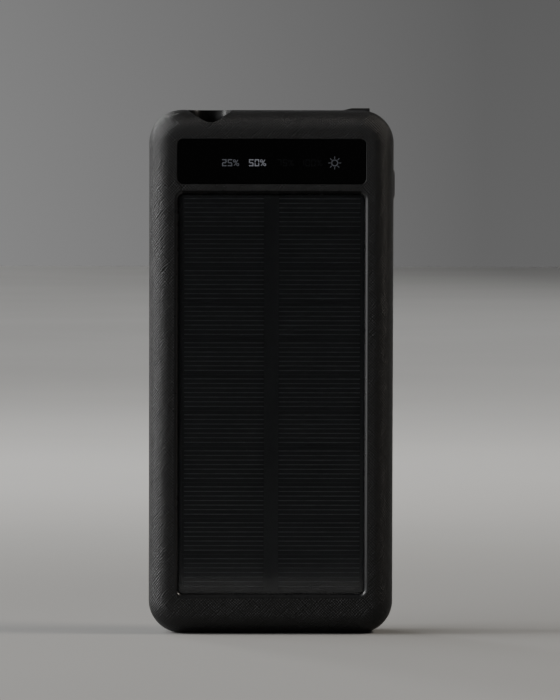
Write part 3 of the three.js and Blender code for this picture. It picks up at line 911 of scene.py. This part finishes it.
flap = start_block("port_flap_strip", (SLOT_LEFT + 0.2 * MM, flap_low.y, SLOT_FLOOR + 0.05 * MM),
                   (flap_high.x, flap_high.y, top_z))
cuts = [hinge_x - WEB_EASE, hinge_x - WEB_HALF, hinge_x + WEB_HALF, hinge_x + WEB_EASE,
        flap_high.x - LIP_LONG - LIP_RAMP, flap_high.x - LIP_LONG]
for x in cuts:
    bpy.ops.object.mode_set(mode="EDIT")
    bpy.ops.mesh.select_all(action="SELECT")
    bpy.ops.mesh.bisect(plane_co=(x, 0, 0), plane_no=(1, 0, 0))
    put_down()
pick(flap, "VERT", lambda v: v.co.z > top_z - 1e-6 and v.co.x > flap_high.x - LIP_LONG - 1e-6)
bpy.ops.transform.translate(value=(0, 0, flap_high.z - top_z))
pick(flap, "VERT", lambda v: v.co.z > top_z - 1e-6 and abs(v.co.x - hinge_x) < WEB_HALF + 0.1 * MM)
bpy.ops.transform.translate(value=(0, 0, -WEB_TOP_CUT))
pick(flap, "VERT", lambda v: v.co.z < top_z - MM and abs(v.co.x - hinge_x) < WEB_HALF + 0.1 * MM)
bpy.ops.transform.translate(value=(0, 0, WEB_FOOT_CUT))
put_down()
soften_edges(flap, 0.22 * MM, 3, 30)
for socket, (wide, deep, radius, reach) in PLUGS.items():
    middle = sum(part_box(socket), Vector()) / 2
    plug = start_block("plug", (middle.x - wide / 2, middle.y - deep / 2, SLOT_FLOOR - reach),
                       (middle.x + wide / 2, middle.y + deep / 2, SLOT_FLOOR + 0.3 * MM))
    round_corners(plug, 2, radius, 4)
    step_in(plug, (0, 0, -1), [(0.2 * MM, 0.12 * MM), (0.2 * MM, 0.05 * MM)])
    put_down()
    use_tool(flap, plug, "UNION")
paint(flap, RUBBER)
smooth(flap, 40)
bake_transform(flap)
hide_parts("port_flap")

# --------------------------------------------------
# Power button: a small moulded cap with a crowned face. A flange behind the wall
# keeps it in, and it presses the switch's plunger.
# --------------------------------------------------
CAP_HALF_WIDE = 2 * MM
CAP_HALF_TALL = 4.2 * MM
FLANGE_THICK = 0.9 * MM
CAP_BLACK = mottled("button_plastic", (0.01, 0.01, 0.0105), (0.36, 0.46), 500, fine=(8000, 0.003))

cap = start_block("button_cap_moulding",
                  (button_low.x + 0.4 * MM, -CAP_HALF_WIDE, button_z - CAP_HALF_TALL),
                  (button_high.x - 0.4 * MM, CAP_HALF_WIDE, button_z + CAP_HALF_TALL))
round_corners(cap, 0, 1.95 * MM, 10)
step_in(cap, (1, 0, 0), [(0.15 * MM, 0.2 * MM), (0.35 * MM, 0.13 * MM), (0.6 * MM, 0.07 * MM)])
put_down()
flange = rounded_block("flange", button_low,
                       (button_low.x + FLANGE_THICK, button_high.y, button_high.z), 2.8 * MM, 0, 10)
use_tool(cap, flange, "UNION")
paint(cap, CAP_BLACK)
smooth(cap, 35)
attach(cap, "button")
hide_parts("button_cap")

# --------------------------------------------------
# Cover screws: blackened steel pan heads with a cross recess, driven into the
# front cover's bosses from behind.
# --------------------------------------------------


def blackened_steel():
    """Oxide-blackened steel, worn paler in places."""
    material, tree, shader = plain_finish("blackened_steel", (0.05, 0.05, 0.053), 0.34, 1.0)
    wear_and_groove_shade = noise(tree, 1500, 4)
    shade_between(tree, shader, ramp(tree, wear_and_groove_shade, 0.4, 0.7), (0.035, 0.035, 0.037), (0.11, 0.11, 0.115))
    vary(tree, wear_and_groove_shade, 0.28, 0.42, shader.inputs["Roughness"])
    return material


BLACK_STEEL = blackened_steel()
RECESS_HALF = (1.2 * MM, 0.26 * MM)
RECESS_DEEP = 0.75 * MM
first = screws[0]
low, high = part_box("cover_screw_1")
head_radius = (high.x - low.x) / 2
screw = start_pin("screw_1", head_radius, first, HEAD_SEAT, high.y, 48)
pick(screw, "FACE", lambda f: f.normal.y > 0.9)
for inwards in (0.18 * MM, 0.5 * MM):
    bpy.ops.mesh.inset(thickness=inwards, depth=0.0)
pick(screw, "EDGE", lambda e: all(
    v.co.y > high.y - 1e-6 and math.hypot(v.co.x - first.x, v.co.z - first.z) > head_radius * 0.98
    for v in e.verts))
bpy.ops.mesh.bevel(offset=0.3 * MM, segments=4, affect="EDGES")
put_down()
for wide, tall in (RECESS_HALF, RECESS_HALF[::-1]):
    blade = start_block("blade", (first.x - wide, high.y - RECESS_DEEP, first.z - tall),
                        (first.x + wide, high.y + MM, first.z + tall))
    use_tool(screw, blade)
shank = start_pin("shank", 0.95 * MM, first, low.y + 0.6 * MM, HEAD_SEAT + 0.1 * MM, 24)
bpy.ops.object.mode_set(mode="EDIT")
step_in(shank, (0, -1, 0), [(0.3 * MM, 0.3 * MM), (0.35 * MM, 0.3 * MM)])
put_down()
use_tool(screw, shank, "UNION")
paint(screw, BLACK_STEEL)
smooth(screw, 35)
for n, place in enumerate(screws[1:], 2):
    copy = moved_copy(screw, f"screw_{n}", (place.x - first.x, 0, place.z - first.z))
    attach(copy, "casing")
    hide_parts(f"cover_screw_{n}")
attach(screw, "casing")
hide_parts("cover_screw_1")

# --------------------------------------------------
# Socket contacts: gold-plated spring strips let into the sockets' tongues, four
# wide ones in the larger socket, and twelve fine ones on each side of the small.
# --------------------------------------------------
PROUD = 0.05 * MM
FINE_PITCH = 0.5 * MM


def gold_plate():
    """Thin gold plate, rubbed along the way that a plug slides."""
    material, tree, shader = plain_finish("gold_plate", (0.75, 0.55, 0.22), 0.24, 1.0)
    rubbed = noise(tree, 1200, 3, (1, 1, 0.2))
    shade_between(tree, shader, rubbed, (0.66, 0.46, 0.17), (0.8, 0.6, 0.27))
    vary(tree, rubbed, 0.18, 0.34, shader.inputs["Roughness"])
    return material


def contact_strip(x, wide, face_at, facing, low_z, high_z):
    """One strip on a tongue's face, standing a little proud, its edges rounded."""
    proud = face_at + facing * PROUD
    near, far = sorted((face_at, proud))
    piece = start_block("strip", (x - wide / 2, near, low_z), (x + wide / 2, far, high_z))
    pick(piece, "EDGE", lambda e: all(abs(v.co.y - proud) < 1e-7 for v in e.verts))
    bpy.ops.mesh.bevel(offset=0.02 * MM, segments=2, affect="EDGES")
    put_down()
    return piece


GOLD = gold_plate()
large_low, large_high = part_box("usb_a_tongue")
large_x = (large_low.x + large_high.x) / 2
small_low, small_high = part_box("usb_c_tongue")
small = (small_low + small_high) / 2
wide_strips = [contact_strip(large_x + at * MM, 1.0 * MM, -0.02 * MM, -1, 138 * MM, large_high.z - 0.5 * MM)
               for at in (-3.5, -1, 1, 3.5)]
fine_strips = [contact_strip(small.x + (n - 5.5) * FINE_PITCH, FINE_PITCH / 2,
                             small.y + side * 0.35 * MM, side, 143 * MM, small_high.z - 0.4 * MM)
               for side in (-1, 1) for n in range(12)]
for name, bars in (("wide_contacts", wide_strips), ("fine_contacts", fine_strips)):
    contacts = join_pieces(name, bars)
    paint(contacts, GOLD)
    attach(contacts, "casing")

# --------------------------------------------------
# Inner parts: the board, the cell, the sockets and the wiring keep the shapes
# they were designed with, and get the finish that each one is made in.
# --------------------------------------------------


def patterned(name, dark, light, roughness, scale, metallic=0.0, stretch=(1, 1, 1), depth=0.003):
    """A finish whose colour, shine and face vary with a noise of this scale."""
    material, tree, shader = plain_finish(name, dark, roughness, metallic)
    cloud = noise(tree, scale, 3, stretch)
    shade_between(tree, shader, ramp(tree, cloud, 0.35, 0.65), dark, light)
    vary(tree, cloud, roughness * 0.85, roughness * 1.2, shader.inputs["Roughness"])
    raise_bumps(tree, shader, cloud, depth * MM)
    return material


finishes = {
    "gasket": patterned("gasket_rubber", (0.008, 0.008, 0.008), (0.014, 0.014, 0.014), 0.6, 900),
    "film": patterned("film_ink", (0.0025, 0.0025, 0.0026), (0.004, 0.004, 0.0042), 0.5, 600),
    "light_guide": patterned("milky_acrylic", (0.62, 0.62, 0.6), (0.75, 0.75, 0.72), 0.4, 300),
    "led_chip": patterned("led_resin", (0.8, 0.78, 0.62), (0.9, 0.88, 0.75), 0.3, 900),
    "panel_board": patterned("black_resist", (0.048, 0.0483, 0.049), (0.055, 0.0554, 0.0564), 0.35, 500),
    "tape": patterned("foam_tape", (0.03, 0.03, 0.03), (0.06, 0.06, 0.06), 0.85, 1500, depth=0.02),
    "pouch_foil": patterned("pouch_foil", (0.5, 0.51, 0.53), (0.66, 0.67, 0.69), 0.35, 60, 0.85,
                            depth=0.05),
    "circuit_board": patterned("green_resist", (0.012, 0.08, 0.045), (0.02, 0.13, 0.07), 0.35, 400,
                               stretch=(3, 1, 1), depth=0.01),
    "socket_steel": patterned("nickel", (0.55, 0.55, 0.56), (0.66, 0.66, 0.67), 0.28, 900, 1.0,
                              stretch=(1, 1, 0.1), depth=0.001),
    "socket_plastic": patterned("socket_nylon", (0.012, 0.012, 0.012), (0.02, 0.02, 0.02), 0.5, 800),
    "ferrite": patterned("ferrite", (0.04, 0.04, 0.042), (0.08, 0.08, 0.083), 0.7, 1800, depth=0.01),
    "chip": patterned("moulded_epoxy", (0.012, 0.012, 0.013), (0.02, 0.02, 0.021), 0.45, 2500),
    "switch_plastic": patterned("switch_nylon", (0.02, 0.02, 0.021), (0.035, 0.035, 0.036), 0.5, 900),
    "plunger": patterned("red_acetal", (0.36, 0.045, 0.03), (0.46, 0.07, 0.045), 0.4, 900),
    "torch_phosphor": patterned("led_phosphor", (0.82, 0.68, 0.16), (0.9, 0.78, 0.25), 0.45, 1500),
    "wire_red": patterned("red_silicone", (0.38, 0.02, 0.02), (0.48, 0.035, 0.03), 0.45, 500),
    "wire_black": patterned("black_silicone", (0.014, 0.014, 0.014), (0.024, 0.024, 0.024), 0.45, 500),
}
for entry in frame["record"]["subparts"]:
    if entry["material_slot"] in finishes:
        paint(frame["nodes"][entry["node"]], finishes[entry["material_slot"]])

# --------------------------------------------------
# Studio: a pale floor in a dim room, with painted light in the floor's colour and in the backdrop. A soft
# light stands at the left, a warmer one at the upper right and a small one behind the left. The lens is long.
# --------------------------------------------------
select_only()
bpy.ops.mesh.primitive_plane_add(size=1, location=(0, 2.95, 0))
bpy.context.object.scale = (8, 6.3, 1)
floor = settle("studio_floor")
pale, tree, shader = plain_finish("pale_floor", (0.5, 0.5, 0.5), 0.9)
spot = add_node(tree, "ShaderNodeSeparateXYZ")
join(tree, own_place(tree), spot.inputs[0])
# Painted light: the floor is coloured darker near the front and paler further back, and at its far end paler at
# the left than at the right, as the light from the left falls off.
near = ramp(tree, spot.outputs["Y"], 0.08, 0.9, 0.245, 0.61)
near.node.interpolation_type = "SMOOTHSTEP"
far_end_painted_light = ramp(tree, spot.outputs["X"], -0.45, 0.45, 0.53, 0.2)
far = ramp(tree, spot.outputs["Y"], 2.6, 6.1)
far.node.interpolation_type = "SMOOTHSTEP"
painted_floor_light = work(tree, "ADD", near, work(tree, "MULTIPLY", far, work(tree, "SUBTRACT", far_end_painted_light, near)))
painted_floor_light = work(tree, "MULTIPLY", painted_floor_light, ramp(tree, noise(tree, 3, 4), 0.3, 0.7, 0.97, 1.03))
tint = add_node(tree, "ShaderNodeCombineColor")
for channel, share in (("Red", 1.0), ("Green", 0.99), ("Blue", 0.962)):
    join(tree, work(tree, "MULTIPLY", painted_floor_light, share), tint.inputs[channel])
join(tree, tint.outputs[0], shader.inputs["Base Color"])
floor.data.materials.append(pale)


def soft_light(name, place, aim, width, height, watts, colour=(1, 1, 1)):
    """A rectangular soft box that faces a point."""
    lamp = bpy.data.lights.new(name, "AREA")
    lamp.shape = "RECTANGLE"
    lamp.size, lamp.size_y = width, height
    lamp.energy = watts
    lamp.color = colour
    holder = bpy.data.objects.new(name, lamp)
    holder.location = place
    holder.rotation_euler = (Vector(aim) - Vector(place)).to_track_quat("-Z", "Y").to_euler()
    bpy.context.scene.collection.objects.link(holder)


middle = (cad_low + cad_high) / 2
soft_light("key_left", (-1.02, -0.05, 0.57), middle, 0.34, 0.34, 10.5)
soft_light("kicker_right", (0.93, -0.1, 0.9), middle, 0.22, 0.22, 8.5, (1, 0.93, 0.84))
soft_light("rim_left", (-0.6, 0.95, 0.75), middle, 0.2, 0.2, 3)

world = bpy.data.worlds.new("studio")
bpy.context.scene.world = world
world.use_nodes = True
tree = world.node_tree
backdrop = tree.nodes["Background"]
room = add_node(tree, "ShaderNodeBackground")
way = add_node(tree, "ShaderNodeTexCoord").outputs["Generated"]
split = add_node(tree, "ShaderNodeSeparateXYZ")
join(tree, way, split.inputs[0])
# Painted light: the backdrop, seen only by the camera, is paler at the left and lower down, as a wall lit from the
# left.
across = ramp(tree, split.outputs["X"], -0.06, 0.06, 0.25, 0.125)
upwards = ramp(tree, split.outputs["Z"], -0.02, 0.06, 1.06, 0.88)
painted_wall_light = work(tree, "MULTIPLY", across, upwards)
join(tree, painted_wall_light, backdrop.inputs["Color"])
towards = add_node(tree, "ShaderNodeVectorMath", {"operation": "DOT_PRODUCT"})
towards.inputs[1].default_value = (-0.98, -0.1, 0.16)
join(tree, way, towards.inputs[0])
soft_box = ramp(tree, towards.outputs["Value"], 0.48, 0.9, 0.0, 3.0)
soft_box.node.interpolation_type = "SMOOTHSTEP"
rear = ramp(tree, split.outputs["Y"], 0.3, 0.95, 0.0, 0.1)
overhead = ramp(tree, split.outputs["Z"], 0.1, 0.9, 0.055, 0.02)
fill = work(tree, "ADD", rear, overhead)
join(tree, work(tree, "ADD", soft_box, fill), room.inputs["Color"])
seen = add_node(tree, "ShaderNodeLightPath").outputs["Is Camera Ray"]
mix = add_node(tree, "ShaderNodeMixShader")
join(tree, seen, mix.inputs[0])
join(tree, room.outputs[0], mix.inputs[1])
join(tree, backdrop.outputs[0], mix.inputs[2])
join(tree, mix.outputs[0], tree.nodes["World Output"].inputs["Surface"])

DISTANCE = 1.35
SETBACK = 6.5 * MM
LOOK_DOWN = math.radians(2.0)
ROLL = math.radians(0.14)
FILM_HEIGHT = 24
SHARE_FILLED = 0.74714
long_lens = bpy.data.cameras.new("camera")
camera = bpy.data.objects.new("camera", long_lens)
bpy.context.scene.collection.objects.link(camera)
bpy.context.scene.camera = camera
long_lens.sensor_fit = "VERTICAL"
long_lens.sensor_height = FILM_HEIGHT
long_lens.lens = FILM_HEIGHT * SHARE_FILLED * (DISTANCE + SETBACK) / (front_high.z - front_low.z)
aim = Vector((0.00245, face_y, 0.0815))
camera.location = aim + DISTANCE * Vector((-0.017, -math.cos(LOOK_DOWN), math.sin(LOOK_DOWN)))
camera.rotation_euler = (aim - camera.location).to_track_quat("-Z", "Y").to_euler()
camera.rotation_euler.rotate_axis("Z", ROLL)
long_lens.clip_end = 60
